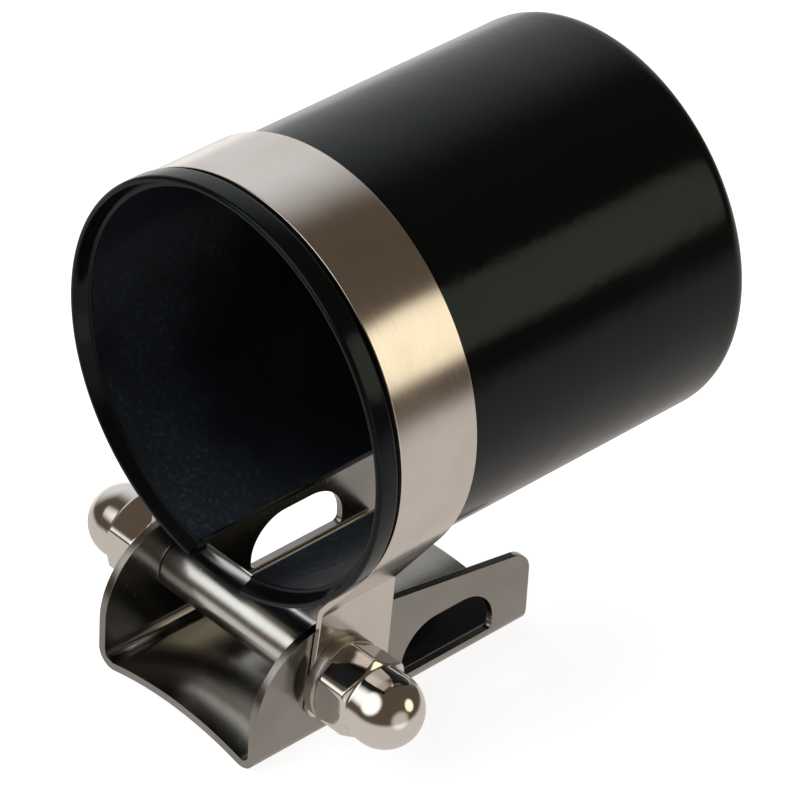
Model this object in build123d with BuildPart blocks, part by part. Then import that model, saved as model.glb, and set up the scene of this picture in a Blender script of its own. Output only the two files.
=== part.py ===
"""Gauge mounting cup in a strap clamp, pivoting on a saddle bracket.

Millimetres, +Z up.  The origin is the centre of the gauge bore where it meets
the bezel seat; the mouth of the cup faces -Y and the pivot stud runs along X.
"""
import os
from math import acos, atan2, cos, degrees, hypot, radians, sin

from build123d import *

os.makedirs("parts", exist_ok=True)

# ---------------------------------------------------------------- cup shell
BORE_D = 55.2             # 52 mm (2 1/16 in) gauge body with a packing ring
BODY_D = 57.0
LIP_D = 59.4              # raised band at the mouth
LIP_LENGTH = 3.3
LIP_FRONT_ROUND = 0.75
LIP_BACK_ROUND = 0.4
SEAT_DEPTH = 1.8          # flared bezel seat in front of the bore
SEAT_MOUTH_D = 57.8
SEAT_FLOOR_D = 56.2
CUP_BACK = 65.8
FLOOR = 2.4
BACK_ROUND = 3.0
FLOOR_ROUND = 2.0
WIRE_SLOT_WIDTH = 10.0
WIRE_SLOT_END = 46.0

# -------------------------------------------------------------- strap clamp
STRAP_T = 0.9
STRAP_GAP = 0.05          # sliding fit of the cup in the strap
STRAP_FRONT = 2.2
STRAP_WIDTH = 13.0
EAR_X = 15.6              # inner face of each ear
EAR_TOP_Z = -27.6         # bend line between band and ear
EAR_BOTTOM_Z = -44.8
EAR_FRONT_LEAN = 1.9      # the ears sweep forward towards their tips
EAR_BACK_LEAN = 0.8
EAR_BEND_ROUND = 1.7      # centreline radius
EAR_CORNER = 2.2

# ----------------------------------------------------------- saddle bracket
SHEET = 1.2
BASE_BEND_ROUND = 2.0     # centreline radius
WALL_X = 15.5             # outer face of each wall
BRACKET_FRONT = -7.9
BRACKET_BACK = 41.5
BRACKET_BOTTOM = -50.5
ARCH_RISE = 2.2           # the base bows upwards to sit on a round column
WALL_TOP_FRONT = -28.4    # height of the sloping top line at the front edge
WALL_TOP_BACK = -37.3     # and at the back edge
WALL_FRONT_ROUND = 12.0
WALL_BACK_ROUND = 3.6
BAND_SLOT_FRONT = 18.2
BAND_SLOT_BACK = 35.0
BAND_SLOT_BOTTOM = -47.1
BAND_SLOT_TOP = -39.5
BAND_SLOT_TOP_ROUND = 6.0
BAND_SLOT_BOTTOM_ROUND = 0.9

# ---------------------------------------------------- pivot stud and hardware
PIVOT_Y = 5.5
PIVOT_Z = -39.2
THREAD_D = 6.35           # 1/4-20 thread, modelled at its major diameter
PIVOT_HOLE_D = 6.45
SLEEVE_D = 8.1            # spacer tube on the stud, between the walls
SLEEVE_BORE_D = 6.6
SLEEVE_END_GAP = 0.05
WASHER_D = 12.0
WASHER_HOLE_D = 6.8
WASHER_T = 1.6
NUT_AF = 11.1
NUT_HEX_H = 5.4
NUT_H = 12.8
DOME_D = 10.6
NUT_BORE_DEPTH = 9.6
STUD_END_GAP = 0.8        # stud end to the blind end of the nut


def polar(radius, angle):
    """Point at a radius and an angle in degrees."""
    return (radius * cos(radians(angle)), radius * sin(radians(angle)))


def round_corner(x, y, radius):
    """Fillet the corner of the sketch being built that is nearest to (x, y)."""
    fillet(vertices().sort_by_distance((x, y))[0], radius)


# ------------------------------------------------------------ gauge_cup_shell
mouth = -SEAT_DEPTH
with BuildPart() as gauge_cup_shell:
    with BuildSketch(Plane.XY):
        with BuildLine():
            Polyline(
                (SEAT_MOUTH_D / 2, mouth),
                (LIP_D / 2, mouth),
                (LIP_D / 2, mouth + LIP_LENGTH),
                (BODY_D / 2, mouth + LIP_LENGTH),
                (BODY_D / 2, CUP_BACK),
                (0, CUP_BACK),
                (0, CUP_BACK - FLOOR),
                (BORE_D / 2, CUP_BACK - FLOOR),
                (BORE_D / 2, 0),
                (SEAT_FLOOR_D / 2, 0),
                close=True,
            )
        make_face()
        round_corner(LIP_D / 2, mouth, LIP_FRONT_ROUND)
        round_corner(LIP_D / 2, mouth + LIP_LENGTH, LIP_BACK_ROUND)
        round_corner(BODY_D / 2, CUP_BACK, BACK_ROUND)
        round_corner(BORE_D / 2, CUP_BACK - FLOOR, FLOOR_ROUND)
    revolve(axis=Axis.Y)
    with BuildSketch(Plane.XY.offset(-LIP_D / 2 - 1)):
        slot_start = mouth - WIRE_SLOT_WIDTH
        with Locations((0, (WIRE_SLOT_END + slot_start) / 2)):
            SlotOverall(WIRE_SLOT_END - slot_start, WIRE_SLOT_WIDTH, rotation=90)
    extrude(amount=12, mode=Mode.SUBTRACT)
gauge_cup_shell.part.label = "gauge_cup_shell"

# ---------------------------------------------------------------- strap_clamp
strap_mid = BODY_D / 2 + STRAP_GAP + STRAP_T / 2
ear_mid = EAR_X + STRAP_T / 2
bend_angle = degrees(atan2(EAR_TOP_Z, ear_mid))
leave_angle = bend_angle + degrees(acos(strap_mid / hypot(ear_mid, EAR_TOP_Z)))
strap_back = STRAP_FRONT + STRAP_WIDTH
with BuildPart() as strap_clamp:
    with BuildSketch(Plane.XZ.offset(-strap_back - 1)):
        with BuildLine():
            CenterArc((0, 0), strap_mid, leave_angle, 180 - 2 * leave_angle)
            for side in (1, -1):
                leave = polar(strap_mid, leave_angle)
                Line((side * leave[0], leave[1]), (side * ear_mid, EAR_TOP_Z))
                Line((side * ear_mid, EAR_TOP_Z), (side * ear_mid, EAR_BOTTOM_Z - 1))
                round_corner(side * ear_mid, EAR_TOP_Z, EAR_BEND_ROUND)
        trace(line_width=STRAP_T)
    extrude(amount=STRAP_WIDTH + EAR_FRONT_LEAN + 6)
    with BuildSketch(Plane.YZ):
        with BuildLine():
            Polyline(
                (STRAP_FRONT, 31),
                (strap_back, 31),
                (strap_back, EAR_TOP_Z),
                (strap_back - EAR_BACK_LEAN, EAR_BOTTOM_Z),
                (STRAP_FRONT - EAR_FRONT_LEAN, EAR_BOTTOM_Z),
                (STRAP_FRONT, EAR_TOP_Z),
                close=True,
            )
        make_face()
        round_corner(strap_back - EAR_BACK_LEAN, EAR_BOTTOM_Z, EAR_CORNER)
        round_corner(STRAP_FRONT - EAR_FRONT_LEAN, EAR_BOTTOM_Z, EAR_CORNER)
    extrude(amount=40, both=True, mode=Mode.INTERSECT)
    with Locations(Location((0, PIVOT_Y, PIVOT_Z), (0, 90, 0))):
        Cylinder(PIVOT_HOLE_D / 2, 60, mode=Mode.SUBTRACT)
strap_clamp.part.label = "strap_clamp"

# ------------------------------------------------------------- saddle_bracket
wall_mid = WALL_X - SHEET / 2
base_mid = BRACKET_BOTTOM + SHEET / 2
bracket_length = BRACKET_BACK - BRACKET_FRONT
with BuildPart() as saddle_bracket:
    with BuildSketch(Plane.XZ.offset(-BRACKET_BACK)):
        with BuildLine():
            Line((-wall_mid, -24), (-wall_mid, base_mid))
            ThreePointArc((-wall_mid, base_mid), (0, base_mid + ARCH_RISE), (wall_mid, base_mid))
            Line((wall_mid, base_mid), (wall_mid, -24))
            round_corner(-wall_mid, base_mid, BASE_BEND_ROUND)
            round_corner(wall_mid, base_mid, BASE_BEND_ROUND)
        trace(line_width=SHEET)
    extrude(amount=bracket_length)
    with BuildSketch(Plane.YZ):
        with BuildLine():
            Polyline(
                (BRACKET_FRONT, BRACKET_BOTTOM - 1),
                (BRACKET_FRONT, WALL_TOP_FRONT),
                (BRACKET_BACK, WALL_TOP_BACK),
                (BRACKET_BACK, BRACKET_BOTTOM - 1),
                close=True,
            )
        make_face()
        round_corner(BRACKET_FRONT, WALL_TOP_FRONT, WALL_FRONT_ROUND)
        round_corner(BRACKET_BACK, WALL_TOP_BACK, WALL_BACK_ROUND)
    extrude(amount=40, both=True, mode=Mode.INTERSECT)
    with BuildSketch(Plane.YZ):
        with BuildLine():
            Polyline(
                (BAND_SLOT_FRONT, BAND_SLOT_BOTTOM),
                (BAND_SLOT_FRONT, BAND_SLOT_TOP),
                (BAND_SLOT_BACK, BAND_SLOT_TOP),
                (BAND_SLOT_BACK, BAND_SLOT_BOTTOM),
                close=True,
            )
        make_face()
        round_corner(BAND_SLOT_FRONT, BAND_SLOT_TOP, BAND_SLOT_TOP_ROUND)
        round_corner(BAND_SLOT_BACK, BAND_SLOT_TOP, BAND_SLOT_TOP_ROUND)
        round_corner(BAND_SLOT_FRONT, BAND_SLOT_BOTTOM, BAND_SLOT_BOTTOM_ROUND)
        round_corner(BAND_SLOT_BACK, BAND_SLOT_BOTTOM, BAND_SLOT_BOTTOM_ROUND)
    extrude(amount=40, both=True, mode=Mode.SUBTRACT)
    with Locations(Location((0, PIVOT_Y, PIVOT_Z), (0, 90, 0))):
        Cylinder(PIVOT_HOLE_D / 2, 60, mode=Mode.SUBTRACT)
saddle_bracket.part.label = "saddle_bracket"

# ----------------------------------------------------------------- pivot_stud
nut_base = EAR_X + STRAP_T + WASHER_T
stud_half = nut_base + NUT_BORE_DEPTH - STUD_END_GAP
with BuildPart() as pivot_stud:
    with Locations(Location((0, PIVOT_Y, PIVOT_Z), (0, 90, 0))):
        Cylinder(THREAD_D / 2, 2 * stud_half)
    ends = pivot_stud.edges().group_by(Axis.X)
    chamfer(ends[0] + ends[-1], 0.7)
pivot_stud.part.label = "pivot_stud"

# -------------------------------------------------------------- spacer_sleeve
sleeve_half = WALL_X - SHEET - SLEEVE_END_GAP
with BuildPart() as spacer_sleeve:
    with BuildSketch(Plane.YZ.offset(-sleeve_half)):
        with Locations((PIVOT_Y, PIVOT_Z)):
            Circle(SLEEVE_D / 2)
            Circle(SLEEVE_BORE_D / 2, mode=Mode.SUBTRACT)
    extrude(amount=2 * sleeve_half)
    sleeve_rims = spacer_sleeve.edges().filter_by(GeomType.CIRCLE).group_by(SortBy.RADIUS)
    chamfer(sleeve_rims[-1], 0.2)
spacer_sleeve.part.label = "spacer_sleeve"


# ------------------------------------------------------ washers and cap nuts
def make_washer(side, label):
    """Flat washer lying on the outer face of one strap ear."""
    with BuildPart() as washer:
        with BuildSketch(Plane.YZ.offset(side * (EAR_X + STRAP_T))):
            with Locations((PIVOT_Y, PIVOT_Z)):
                Circle(WASHER_D / 2)
                Circle(WASHER_HOLE_D / 2, mode=Mode.SUBTRACT)
        extrude(amount=side * WASHER_T)
        rims = washer.edges().filter_by(GeomType.CIRCLE).group_by(SortBy.RADIUS)[-1]
        fillet(rims, 0.3)
    washer.part.label = label
    return washer


def make_cap_nut(side, label):
    """Acorn nut: chamfered hexagon, short neck, hemispherical dome, blind bore."""
    dome_centre = NUT_H - DOME_D / 2
    with BuildPart() as nut:
        with BuildSketch(Plane.XY):
            RegularPolygon(NUT_AF / 2, 6, major_radius=False, rotation=58)
        extrude(amount=NUT_HEX_H)
        with BuildSketch(Plane.XZ):
            with BuildLine():
                Polyline(
                    (0, 0),
                    (NUT_AF / 2 - 0.1, 0),
                    (NUT_AF / 2 + 1.0, 0.65),
                    (NUT_AF / 2 + 1.0, NUT_HEX_H - 0.75),
                    (NUT_AF / 2 - 0.3, NUT_HEX_H),
                    (0, NUT_HEX_H),
                    close=True,
                )
            make_face()
        revolve(axis=Axis.Z, mode=Mode.INTERSECT)
        with BuildSketch(Plane.XZ):
            with BuildLine():
                Line((0, NUT_HEX_H - 1), (DOME_D / 2, NUT_HEX_H - 1))
                Line((DOME_D / 2, NUT_HEX_H - 1), (DOME_D / 2, dome_centre))
                CenterArc((0, dome_centre), DOME_D / 2, 0, 90)
                Line((0, NUT_H), (0, NUT_HEX_H - 1))
            make_face()
        revolve(axis=Axis.Z)
        with BuildSketch(Plane.XY):
            Circle(PIVOT_HOLE_D / 2)
        extrude(amount=NUT_BORE_DEPTH, mode=Mode.SUBTRACT)
    nut.part.locate(Location((side * nut_base, PIVOT_Y, PIVOT_Z), (0, side * 90, 0)))
    nut.part.label = label
    return nut


right_washer = make_washer(1, "right_washer")
left_washer = make_washer(-1, "left_washer")
right_cap_nut = make_cap_nut(1, "right_cap_nut")
left_cap_nut = make_cap_nut(-1, "left_cap_nut")

# --------------------------------------------------------------------- export
pieces = [
    gauge_cup_shell, strap_clamp, saddle_bracket, pivot_stud, spacer_sleeve,
    right_washer, left_washer, right_cap_nut, left_cap_nut,
]
for piece in pieces:
    export_step(piece.part, f"parts/{piece.part.label}.step")
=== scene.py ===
"""Looks for the gauge mounting cup: finished meshes, materials, studio and camera.

Sizes of the pieces are in millimetres and turned into metres by MM; noise scales,
bump distances and the studio are in metres.  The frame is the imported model's: the
cup's mouth faces -Y, the stud runs along X, +Z is up.
"""
from math import cos, pi, radians, sin, sqrt

import bmesh
import bpy
from mathutils import Matrix, Vector


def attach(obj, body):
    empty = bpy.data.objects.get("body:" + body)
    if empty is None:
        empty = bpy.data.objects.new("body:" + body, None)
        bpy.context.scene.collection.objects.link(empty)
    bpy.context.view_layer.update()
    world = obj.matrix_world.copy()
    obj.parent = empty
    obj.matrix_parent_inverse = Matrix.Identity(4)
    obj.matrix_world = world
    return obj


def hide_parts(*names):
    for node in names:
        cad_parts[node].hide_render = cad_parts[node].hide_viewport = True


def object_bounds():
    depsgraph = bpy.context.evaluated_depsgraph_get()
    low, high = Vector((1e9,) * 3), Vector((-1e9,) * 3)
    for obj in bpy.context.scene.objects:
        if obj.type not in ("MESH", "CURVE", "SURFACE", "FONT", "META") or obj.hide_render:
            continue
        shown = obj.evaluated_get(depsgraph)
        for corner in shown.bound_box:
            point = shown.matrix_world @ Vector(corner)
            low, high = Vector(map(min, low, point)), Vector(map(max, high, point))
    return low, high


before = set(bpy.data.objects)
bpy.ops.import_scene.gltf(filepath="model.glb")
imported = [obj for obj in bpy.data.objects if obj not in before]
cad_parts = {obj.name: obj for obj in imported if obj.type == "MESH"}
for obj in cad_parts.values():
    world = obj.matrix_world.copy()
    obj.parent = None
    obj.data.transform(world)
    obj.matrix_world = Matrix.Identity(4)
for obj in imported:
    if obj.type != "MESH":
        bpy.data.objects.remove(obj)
cad_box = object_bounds()

MM = 0.001
TAU = 2 * pi

# ---------------------------------------------- sizes that follow the CAD part
BORE_R = 27.6
BODY_R = 28.5
LIP_R = 29.7
LIP_FRONT = -1.8
LIP_BACK = 1.5
SEAT_MOUTH_R = 28.9
SEAT_FLOOR_R = 28.1
CUP_BACK = 65.8
CUP_BACK_ROUND = 3.0
CUP_FLOOR = 63.4
CUP_FLOOR_ROUND = 2.0
SLOT_WIDTH = 10.0
SLOT_END = 46.0
PIVOT = Vector((0, 5.5, -39.2))
NUT_BASE = 18.1
NUT_AF = 11.1
NUT_HEX = 5.4
NUT_LENGTH = 12.8
DOME_R = 5.3
DOME_CENTRE = NUT_LENGTH - DOME_R
NUT_BORE_R = 3.2
NUT_BORE_DEPTH = 9.6
THREAD_R = 3.175
THREAD_DEPTH = 0.62
THREAD_PITCH = 1.27
STUD_HALF = 26.9
SLEEVE_R = 4.05
SLEEVE_BORE_R = 3.3
SLEEVE_HALF = 14.25
WASHER_R = 6.0
WASHER_HOLE_R = 3.4
WASHER_T = 1.6

# ------------------------------------------------- how finely rounds are made
ARC_STEPS = 8
CUP_STEPS = 240
SLOT_ARC_STEPS = 32
NUT_STEPS = 180
HEXAGON_RINGS = 36
DOME_RINGS = 27
RING_STEPS = 120
STUD_STEPS = 56
THREAD_RINGS_PER_TURN = 10


# =============================================================== mesh helpers
def shade_by_angle(bm, degrees):
    """Smooth shading, with edges steeper than the angle left sharp."""
    limit = radians(degrees)
    for face in bm.faces:
        face.smooth = True
    for edge in bm.edges:
        edge.smooth = len(edge.link_faces) == 2 and edge.calc_face_angle(0) < limit


def finish_mesh(bm, name, sharp=38):
    """Turn a bmesh into a mesh with outward normals and angle-based shading."""
    bmesh.ops.recalc_face_normals(bm, faces=bm.faces)
    shade_by_angle(bm, sharp)
    mesh = bpy.data.meshes.new(name)
    bm.to_mesh(mesh)
    bm.free()
    return mesh


def add_piece(name, mesh, material, body, node):
    """Show a mesh in place of one CAD node, moving with the node's body."""
    piece = bpy.data.objects.new(name, mesh)
    bpy.context.scene.collection.objects.link(piece)
    mesh.materials.clear()
    mesh.materials.append(material)
    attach(piece, body)
    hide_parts(node)
    return piece


def bevel_corners(bm, width, segments, steeper_than):
    """Round every edge that is steeper than an angle in degrees."""
    corners = [
        edge for edge in bm.edges
        if len(edge.link_faces) == 2
        and edge.calc_face_angle(0) > radians(steeper_than)
    ]
    bmesh.ops.bevel(
        bm, geom=corners, offset=width * MM, offset_type="OFFSET",
        segments=segments, profile=0.5, affect="EDGES", clamp_overlap=True,
    )
    bmesh.ops.remove_doubles(bm, verts=bm.verts, dist=1e-7)


def sheet_mesh(node, edge_round):
    """A CAD sheet part with clean flat faces and rolled, not razor, edges."""
    bm = bmesh.new()
    bm.from_mesh(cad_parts[node].data)
    bmesh.ops.remove_doubles(bm, verts=bm.verts, dist=1e-6)
    bmesh.ops.dissolve_limit(
        bm, angle_limit=radians(0.4), verts=bm.verts, edges=bm.edges
    )
    bmesh.ops.recalc_face_normals(bm, faces=bm.faces)
    bevel_corners(bm, edge_round, segments=3, steeper_than=40)
    return finish_mesh(bm, node + "_finished", 32)


def rounded_profile(corners):
    """Polyline through (height, radius, corner rounding) points, corners rounded."""
    points = []
    for i, (height, radius, rounding) in enumerate(corners):
        here = Vector((height, radius))
        if rounding == 0:
            points.append(here)
            continue
        before = (Vector(corners[i - 1][:2]) - here).normalized()
        after = (Vector(corners[i + 1][:2]) - here).normalized()
        half = before.angle(after) / 2
        centre = here + (before + after).normalized() * rounding / sin(half)
        reach = rounding / (sin(half) / cos(half))
        start = here + before * reach - centre
        end = here + after * reach - centre
        sweep = start.angle(end)
        for step in range(ARC_STEPS + 1):
            share = step / ARC_STEPS
            arm = start * sin((1 - share) * sweep) + end * sin(share * sweep)
            points.append(centre + arm / sin(sweep))
    return points


def lathe(stations, radius_at, steps, place, loop=False):
    """Skin rings of points round the local Z axis, and return the bmesh.

    stations are (height, data) pairs; radius_at(data, height, angle) gives the
    ring's radius; place maps local millimetres to the row frame in metres.
    """
    bm = bmesh.new()
    rings = []
    for height, data in stations:
        ring = []
        for step in range(steps):
            angle = TAU * step / steps
            radius = radius_at(data, height, angle)
            point = Vector((radius * cos(angle), radius * sin(angle), height))
            ring.append(bm.verts.new(place @ point))
        rings.append(ring)
    pairs = list(zip(rings, rings[1:]))
    if loop:
        pairs.append((rings[-1], rings[0]))
    else:
        bm.faces.new(list(reversed(rings[0])))
        bm.faces.new(rings[-1])
    for lower, upper in pairs:
        for i in range(steps):
            j = (i + 1) % steps
            bm.faces.new((lower[i], lower[j], upper[j], upper[i]))
    return bm


def plain_radius(data, height, angle):
    """The ring's radius is the station's own number."""
    return data


def subdivided(points, longest):
    """The same polyline with no step longer than the given length."""
    out = [points[0]]
    for here, there in zip(points, points[1:]):
        pieces = max(1, int((there - here).length / longest + 0.999))
        for step in range(1, pieces + 1):
            out.append(here.lerp(there, step / pieces))
    return out


def along_stud(side):
    """Matrix from a local axis pointing outwards along the stud to the row frame."""
    turn = Matrix.Rotation(side * pi / 2, 4, "Y")
    return Matrix.Scale(MM, 4) @ Matrix.Translation(PIVOT) @ turn


def smooth_min(a, b, blend):
    """Minimum of two lengths with a rounded crossover."""
    h = max(blend - abs(a - b), 0) / blend
    return min(a, b) - h * h * blend / 4


def smooth_max(a, b, blend):
    """Maximum of two lengths with a rounded crossover."""
    return -smooth_min(-a, -b, blend)


def ramp(value, low, high):
    """0 below low, 1 above high, smooth in between."""
    t = min(max((value - low) / (high - low), 0), 1)
    return t * t * (3 - 2 * t)


def thread_cut(height, angle):
    """Depth share, 0 at the crest and 1 at the root, of a rounded 60 degree thread."""
    phase = (height / THREAD_PITCH - angle / TAU) % 1
    return ramp(abs(phase - 0.5) * 2, 0.12, 0.88)


# ===================================================================== pieces
def slot_cutter_mesh():
    """Upright block with a round end, which cuts the slot from mouth to SLOT_END."""
    half = SLOT_WIDTH / 2
    before_mouth = LIP_FRONT - 6.2
    below_cup = -33
    inside_cup = -20
    outline = [(half, before_mouth), (-half, before_mouth)]
    for step in range(SLOT_ARC_STEPS + 1):
        angle = pi - pi * step / SLOT_ARC_STEPS
        outline.append((half * cos(angle), SLOT_END - half + half * sin(angle)))
    bm = bmesh.new()
    low = [bm.verts.new(Vector((x, y, below_cup)) * MM) for x, y in outline]
    high = [bm.verts.new(Vector((x, y, inside_cup)) * MM) for x, y in outline]
    bm.faces.new(low)
    bm.faces.new(list(reversed(high)))
    for i in range(len(outline)):
        j = (i + 1) % len(outline)
        bm.faces.new((low[i], high[i], high[j], low[j]))
    return finish_mesh(bm, "cutter")


def cup_mesh():
    """Turned cup with a rolled lip, a flared seat and the slot along its underside."""
    centre_hole = 3
    profile = rounded_profile([
        (CUP_BACK, centre_hole, 0),
        (CUP_BACK, BODY_R, CUP_BACK_ROUND),
        (LIP_BACK, BODY_R, 0.35),
        (LIP_BACK, LIP_R, 0.45),
        (LIP_FRONT, LIP_R, 0.55),
        (LIP_FRONT, SEAT_MOUTH_R, 0.18),
        (0, SEAT_FLOOR_R, 0.15),
        (0, BORE_R, 0.2),
        (CUP_FLOOR, BORE_R, CUP_FLOOR_ROUND),
        (CUP_FLOOR, centre_hole, 0),
    ])
    stations = [(p[0], p[1]) for p in subdivided(profile, 1.6)]
    place = Matrix.Scale(MM, 4) @ Matrix.Rotation(-pi / 2, 4, "X")
    blank = finish_mesh(lathe(stations, plain_radius, CUP_STEPS, place), "cup_blank")
    cup = bpy.data.objects.new("cup_blank", blank)
    cutter = bpy.data.objects.new("cutter", slot_cutter_mesh())
    for made in (cup, cutter):
        bpy.context.scene.collection.objects.link(made)
    cut = cup.modifiers.new("slot", "BOOLEAN")
    cut.operation = "DIFFERENCE"
    cut.solver = "EXACT"
    cut.object = cutter
    graph = bpy.context.evaluated_depsgraph_get()
    bm = bmesh.new()
    bm.from_mesh(cup.evaluated_get(graph).to_mesh())
    for made in (cup, cutter):
        bpy.data.objects.remove(made)
    bmesh.ops.remove_doubles(bm, verts=bm.verts, dist=2e-6)
    bevel_corners(bm, width=0.22, segments=3, steeper_than=55)
    return finish_mesh(bm, "cup", 40)


def nut_radius(data, height, angle):
    """Outside of an acorn nut: chamfered hexagon running into a domed end.

    Stations inside the nut give their radius as data; those outside give None.
    """
    if data is not None:
        return data
    flat = NUT_AF / 2
    turn = (angle + radians(2)) % radians(60) - radians(30)
    hexagon = smooth_min(flat / cos(turn), flat * 1.128, 0.22)
    foot = flat - 0.15 + height * 1.9
    shoulder = flat - 0.25 + (NUT_HEX - height) * 1.75
    body = smooth_min(hexagon, smooth_min(foot, shoulder, 0.12), 0.12)
    above = max(height - DOME_CENTRE, 0)
    dome = sqrt(max(DOME_R**2 - above**2, 0.0025))
    return dome if height > NUT_HEX + 0.35 else smooth_max(body, dome, 0.3)


def nut_mesh(side):
    """Acorn nut with a plain blind bore, from the bore's end round to the dome."""
    stations = [(NUT_BORE_DEPTH, 0.05), (NUT_BORE_DEPTH, NUT_BORE_R)]
    stations += [(0.5, NUT_BORE_R), (0.0, NUT_BORE_R + 0.5), (0.0, NUT_AF / 2 - 0.5)]
    for step in range(HEXAGON_RINGS + 1):
        stations.append((NUT_HEX * step / HEXAGON_RINGS, None))
    stations += [(NUT_HEX + 0.1 * step, None) for step in (1, 2, 3, 4, 6)]
    for step in range(DOME_RINGS):
        angle = pi / 2 * step / DOME_RINGS
        stations.append((DOME_CENTRE + DOME_R * sin(angle), None))
    place = along_stud(side) @ Matrix.Translation((0, 0, NUT_BASE))
    return finish_mesh(lathe(stations, nut_radius, NUT_STEPS, place), "nut", 50)


def stud_radius(data, height, angle):
    """Rolled thread on both ends, plain where the sleeve hides it."""
    out = abs(height)
    shown = ramp(out, SLEEVE_HALF - 1.5, SLEEVE_HALF - 0.5)
    cut = thread_cut(height, angle) * THREAD_DEPTH * shown
    crest = THREAD_R - cut * ramp(STUD_HALF - out, 0.1, 0.9)
    point = ramp(STUD_HALF - out, -0.5, 0.9)
    return crest * (0.78 + 0.22 * point)


def stud_mesh():
    """Stud with a helical thread on each end."""
    fine = THREAD_PITCH / THREAD_RINGS_PER_TURN
    hidden = SLEEVE_HALF - 1.5
    count = int((STUD_HALF - hidden) / fine)
    ends = [hidden + (STUD_HALF - hidden) * i / count for i in range(count + 1)]
    heights = [-h for h in reversed(ends)] + ends
    stations = [(h, None) for h in heights]
    bm = lathe(stations, stud_radius, STUD_STEPS, along_stud(1))
    return finish_mesh(bm, "stud", 60)


def sleeve_mesh():
    """Spacer tube round the stud, cut square with broken edges."""
    profile = rounded_profile([
        (0, SLEEVE_BORE_R, 0),
        (-SLEEVE_HALF, SLEEVE_BORE_R, 0.12),
        (-SLEEVE_HALF, SLEEVE_R, 0.28),
        (SLEEVE_HALF, SLEEVE_R, 0.28),
        (SLEEVE_HALF, SLEEVE_BORE_R, 0.12),
        (0.1, SLEEVE_BORE_R, 0),
    ])
    stations = [(p[0], p[1]) for p in subdivided(profile, 1.0)]
    bm = lathe(stations, plain_radius, RING_STEPS, along_stud(1), loop=True)
    return finish_mesh(bm, "sleeve")


def washer_mesh(side):
    """Flat punched washer: rounded on the die side, sharper on the other."""
    profile = rounded_profile([
        (WASHER_T / 2, WASHER_HOLE_R, 0),
        (0, WASHER_HOLE_R, 0.12),
        (0, WASHER_R, 0.15),
        (WASHER_T, WASHER_R, 0.35),
        (WASHER_T, WASHER_HOLE_R, 0.2),
        (WASHER_T / 2 + 0.01, WASHER_HOLE_R, 0),
    ])
    stations = [(p[0], p[1]) for p in profile]
    place = along_stud(side) @ Matrix.Translation((0, 0, NUT_BASE - WASHER_T))
    bm = lathe(stations, plain_radius, RING_STEPS, place, loop=True)
    return finish_mesh(bm, "washer")


# ================================================================= materials
class Shader:
    """A node material, or a world, and short ways to add nodes to it."""

    def __init__(self, owner):
        owner.use_nodes = True
        self.owner = owner
        self.tree = owner.node_tree

    def node(self, kind, inputs=None, **settings):
        """New node with its settings made and its inputs set or linked."""
        made = self.tree.nodes.new(kind)
        for key, value in settings.items():
            setattr(made, key, value)
        for key, value in (inputs or {}).items():
            if isinstance(value, bpy.types.NodeSocket):
                self.tree.links.new(value, made.inputs[key])
            else:
                made.inputs[key].default_value = value
        return made

    def math(self, operation, a, b=0.0, c=0.0):
        made = self.node("ShaderNodeMath", {0: a, 1: b, 2: c}, operation=operation)
        return made.outputs[0]

    def ramped(self, value, low, high, to_low=0.0, to_high=1.0):
        """Value carried smoothly from one range to another."""
        made = self.node(
            "ShaderNodeMapRange",
            {"Value": value, "From Min": low, "From Max": high,
             "To Min": to_low, "To Max": to_high},
            interpolation_type="SMOOTHSTEP",
        )
        return made.outputs[0]

    def mix(self, share, first, second):
        """First colour at share 0, second at share 1."""
        made = self.node("ShaderNodeMix", data_type="RGBA")
        for index, value in ((0, share), (6, first), (7, second)):
            if isinstance(value, bpy.types.NodeSocket):
                self.tree.links.new(value, made.inputs[index])
            else:
                made.inputs[index].default_value = value
        return made.outputs[2]

    def noise(self, scale, detail=3.0, stretch=(1, 1, 1), roughness=0.55):
        place = self.node("ShaderNodeTexCoord").outputs["Object"]
        mapped = self.node("ShaderNodeMapping", {"Vector": place, "Scale": stretch})
        made = self.node("ShaderNodeTexNoise", {
            "Vector": mapped.outputs[0], "Scale": scale,
            "Detail": detail, "Roughness": roughness,
        })
        return made.outputs[0]

    def bump(self, height, strength, distance, normal=None):
        inputs = {"Height": height, "Strength": strength, "Distance": distance}
        if normal is not None:
            inputs["Normal"] = normal
        return self.node("ShaderNodeBump", inputs).outputs[0]

    def surface(self, **inputs):
        """Set the shader's inputs; underscores stand for spaces in their names."""
        shader = self.tree.nodes["Principled BSDF"]
        for key, value in inputs.items():
            socket = shader.inputs[key.replace("_", " ")]
            if isinstance(value, bpy.types.NodeSocket):
                self.tree.links.new(value, socket)
            else:
                socket.default_value = value


def gloss_black():
    """Sprayed gloss black with faint orange peel and a few specks of dust."""
    s = Shader(bpy.data.materials.new("gloss_black"))
    peel = s.noise(520, 1.0)
    ripple = s.noise(95, 1.0)
    dust = s.ramped(s.noise(2600, 2.0), 0.72, 0.8)
    haze = s.noise(60, 4.0)
    normal = s.bump(peel, 0.05, 0.0004)
    normal = s.bump(ripple, 0.05, 0.002, normal)
    s.surface(
        Base_Color=s.mix(dust, (0.0022, 0.0028, 0.0030, 1), (0.03, 0.034, 0.038, 1)),
        Roughness=s.ramped(haze, 0.3, 0.75, 0.10, 0.19),
        IOR=1.5,
        Specular_Tint=(0.76, 0.94, 1.0, 1),
        Specular_IOR_Level=0.23,
        Normal=normal,
    )
    return s.owner


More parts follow.
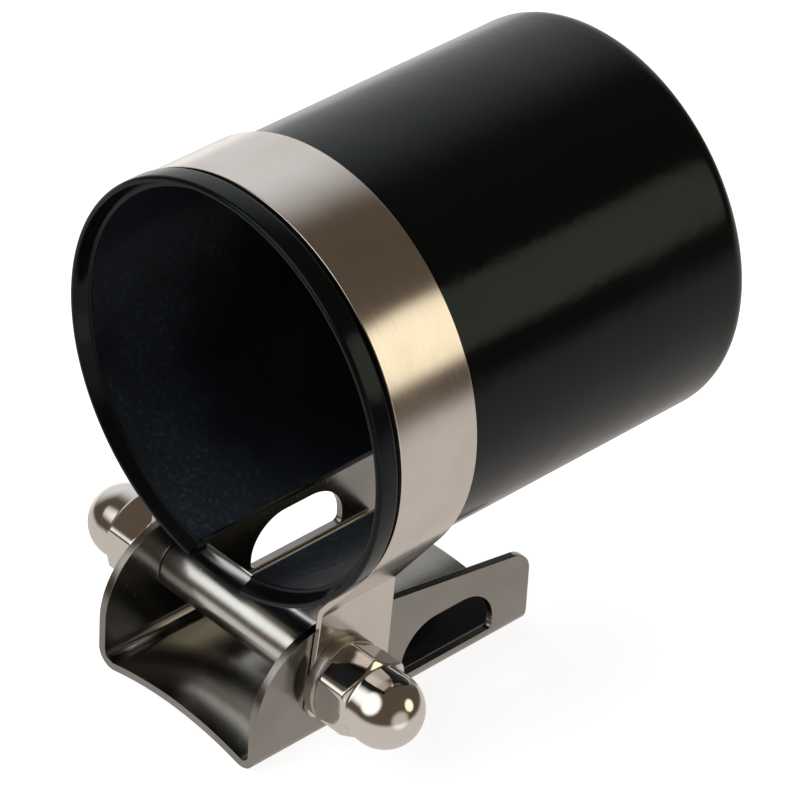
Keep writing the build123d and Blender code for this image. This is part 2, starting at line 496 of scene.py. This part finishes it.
def dull_black():
    """Overspray inside the cup: dull, dusty, with a few scratches."""
    s = Shader(bpy.data.materials.new("dull_black_inside"))
    cloud = s.ramped(s.noise(38, 5.0), 0.42, 0.72)
    grit = s.ramped(s.noise(1500, 3.0), 0.5, 0.75)
    scratch = s.ramped(s.noise(160, 4.0, (1, 0.12, 1), 0.7), 0.72, 0.80)
    dusty = s.math("MULTIPLY", cloud, s.math("ADD", grit, 0.35))
    marked = s.math("MAXIMUM", s.math("MULTIPLY", dusty, 0.7), scratch)
    s.surface(
        Base_Color=s.mix(marked, (0.008, 0.010, 0.014, 1), (0.045, 0.060, 0.076, 1)),
        Roughness=s.ramped(cloud, 0.0, 1.0, 0.34, 0.58),
        IOR=1.5,
        Specular_IOR_Level=0.2,
        Normal=s.bump(s.noise(900, 3.0), 0.25, 0.0003),
    )
    return s.owner


def metal(name, colour, stain, grain, smooth, rough, bump=0.05):
    """Polished or brushed metal: grain is the stretch of its fine lines."""
    s = Shader(bpy.data.materials.new(name))
    lines = s.noise(1.0, 2.0, grain)
    smudge = s.noise(70, 4.0)
    spots = s.ramped(s.noise(900, 2.0), 0.7, 0.8)
    tone = s.ramped(smudge, 0.35, 0.75, 0.0, 0.8)
    finish = s.math("MULTIPLY_ADD", lines, rough - smooth, smooth)
    finish = s.math("MULTIPLY_ADD", s.ramped(smudge, 0.45, 0.8), 0.06, finish)
    finish = s.math("MULTIPLY_ADD", spots, 0.12, finish)
    normal = s.bump(lines, bump, 0.00012)
    normal = s.bump(s.noise(85, 1.0), 0.06, 0.002, normal)
    s.surface(
        Metallic=1.0,
        Base_Color=s.mix(tone, colour, stain),
        Roughness=finish,
        Normal=normal,
    )
    return s.owner


paint = gloss_black()
inside_paint = dull_black()
strap_steel = metal(
    "satin_stainless", (0.79, 0.75, 0.71, 1), (0.70, 0.65, 0.60, 1),
    (150, 5200, 150), 0.12, 0.22, 0.06,
)
bracket_steel = metal(
    "polished_stainless", (0.36, 0.35, 0.33, 1), (0.28, 0.275, 0.26, 1),
    (4200, 160, 4200), 0.13, 0.24,
)
stud_steel = metal(
    "bright_steel", (0.80, 0.83, 0.82, 1), (0.64, 0.65, 0.65, 1),
    (5200, 300, 300), 0.14, 0.26,
)
washer_steel = metal(
    "washer_steel", (0.55, 0.52, 0.48, 1), (0.42, 0.40, 0.36, 1),
    (1500, 1500, 1500), 0.24, 0.42, 0.1,
)
nut_chrome = metal(
    "chromed_nut", (0.86, 0.84, 0.81, 1), (0.80, 0.77, 0.73, 1),
    (900, 900, 900), 0.05, 0.11, 0.02,
)

cup = add_piece(
    "cup_finished", cup_mesh(), paint, "cup", "gauge_cup_shell"
)
cup.data.materials.append(inside_paint)
PAINT_EDGE = 0.6
for face in cup.data.polygons:
    middle = face.center / MM
    in_bore = PAINT_EDGE < middle.y < CUP_FLOOR + 0.5
    if in_bore and middle.xz.length < BORE_R + 0.3:
        face.material_index = 1

add_piece(
    "spacer_sleeve_turned", sleeve_mesh(), stud_steel, "saddle",
    "spacer_sleeve",
)

# CAD node, rounding of its edges, material, body and slot.
SHEETS = (
    ("strap_clamp", 0.16, strap_steel, "clamp", "satin_stainless"),
    ("saddle_bracket", 0.24, bracket_steel, "saddle", "polished_stainless"),
)
for node, rounding, material, body, slot_name in SHEETS:
    mesh = sheet_mesh(node, rounding)
    sheet = add_piece(node + "_finished", mesh, material, body, node)
    flats = sheet.modifiers.new("even_shading", "WEIGHTED_NORMAL")
    flats.keep_sharp = True
    flats.weight = 100

add_piece(
    "pivot_stud_threaded", stud_mesh(), stud_steel, "saddle",
    "pivot_stud",
)
for side, word in ((1, "right"), (-1, "left")):
    add_piece(
        word + "_washer_finished", washer_mesh(side), washer_steel,
        word + "_washer_ride", word + "_washer",
    )
    add_piece(
        word + "_acorn_nut", nut_mesh(side), nut_chrome,
        word + "_nut", word + "_cap_nut",
    )


# ============================================================ floor and light
def direction(azimuth, elevation):
    """Unit vector towards a compass angle and height, as the views count them."""
    a, e = radians(azimuth), radians(elevation)
    return Vector((sin(a) * cos(e), -cos(a) * cos(e), sin(e)))


def stage_object(name, bm, glow, albedo):
    """A pale surface of the studio that reflections don't see."""
    mesh = finish_mesh(bm, name)
    made = bpy.data.objects.new(name, mesh)
    bpy.context.scene.collection.objects.link(made)
    s = Shader(bpy.data.materials.new(name + "_pale"))
    shade = s.ramped(s.noise(0.8, 2.0), 0.2, 0.8, albedo * 0.985, albedo)
    s.surface(
        Base_Color=s.mix(shade, (0, 0, 0, 1), (1, 1, 1, 1)),
        Roughness=0.9,
        Emission_Color=(1, 1, 1, 1),
        Emission_Strength=glow,
    )
    mesh.materials.append(s.owner)
    made.visible_glossy = False
    return made


FLOOR_SPAN = 4.0
FLOOR_GAP = 0.0001
floor_z = cad_box[0].z - FLOOR_GAP
floor_bm = bmesh.new()
bmesh.ops.create_grid(
    floor_bm, x_segments=8, y_segments=8, size=FLOOR_SPAN,
    matrix=Matrix.Translation((0, 0, floor_z)),
)
stage_object("floor", floor_bm, 0.88, 0.4)

wall_bm = bmesh.new()
bmesh.ops.create_cone(
    wall_bm, cap_ends=False, segments=64, radius1=FLOOR_SPAN * 0.95,
    radius2=FLOOR_SPAN * 0.95, depth=6,
)
backdrop = stage_object("backdrop", wall_bm, 1.0, 0.0)
backdrop.visible_diffuse = False
backdrop.visible_shadow = False

sun_data = bpy.data.lights.new("key_softbox", "SUN")
sun_data.energy = 2.4
sun_data.angle = radians(75)
sun_data.color = (1.0, 0.975, 0.95)
sun = bpy.data.objects.new("key_softbox", sun_data)
sun.visible_glossy = False
sun.rotation_mode = "QUATERNION"
sun.rotation_quaternion = direction(-73, 53).to_track_quat("Z", "Y")
bpy.context.scene.collection.objects.link(sun)

world = bpy.data.worlds.new("studio")
bpy.context.scene.world = world
w = Shader(world)
toward = w.node("ShaderNodeTexCoord").outputs["Generated"]


def facing(vector):
    """Cosine between the looked-up direction and a given one."""
    made = w.node("ShaderNodeVectorMath", operation="DOT_PRODUCT")
    w.tree.links.new(toward, made.inputs[0])
    made.inputs[1].default_value = vector
    return made.outputs["Value"]


# A dim warm room above, a pale table below, and soft round panels, each given by
# azimuth, elevation, radius of its full part, radius where it ends, and colour.
PANELS = (
    (-126, 14, 8, 52, (0.66, 0.68, 0.70)),
    (129, 20, 10, 17, (1.25, 1.12, 0.83)),
    (-12, 38, 22, 36, (1.20, 1.18, 1.16)),
    (88, 0, 12, 30, (0.47, 0.43, 0.40)),
)
TABLE = (0.60, 0.555, 0.515, 1)
ROOM = (0.095, 0.070, 0.050, 1)
height = w.node("ShaderNodeSeparateXYZ", {0: toward}).outputs[2]
colour = w.mix(w.ramped(height, -0.30, -0.06), TABLE, ROOM)
for azimuth, elevation, full, faded, tint in PANELS:
    share = w.ramped(
        facing(direction(azimuth, elevation)), cos(radians(faded)), cos(radians(full))
    )
    glow = w.mix(share, (0, 0, 0, 1), (*tint, 1))
    added = w.node("ShaderNodeMix", data_type="RGBA", blend_type="ADD")
    added.inputs[0].default_value = 1.0
    w.tree.links.new(colour, added.inputs[6])
    w.tree.links.new(glow, added.inputs[7])
    colour = added.outputs[2]
w.tree.links.new(colour, w.tree.nodes["Background"].inputs["Color"])

# ===================================================================== camera
AZIMUTH = 44.9
ELEVATION = 36.36
ROLL = radians(3.48)
AIM = Vector((1.5, 29.0, -14.3)) * MM
DISTANCE = 0.6915
LENS = 236.3
back = direction(AZIMUTH, ELEVATION)
level = Vector((cos(radians(AZIMUTH)), sin(radians(AZIMUTH)), 0))
right = cos(ROLL) * level + sin(ROLL) * back.cross(level)
up = back.cross(right)
camera_data = bpy.data.cameras.new("camera")
camera_data.lens = LENS
camera_data.clip_start = 0.05
camera = bpy.data.objects.new("camera", camera_data)
bpy.context.scene.collection.objects.link(camera)
camera.matrix_world = Matrix.Translation(AIM + DISTANCE * back) @ Matrix(
    (right, up, back)
).transposed().to_4x4()
bpy.context.scene.camera = camera
bpy.context.scene.view_settings.view_transform = "Standard"
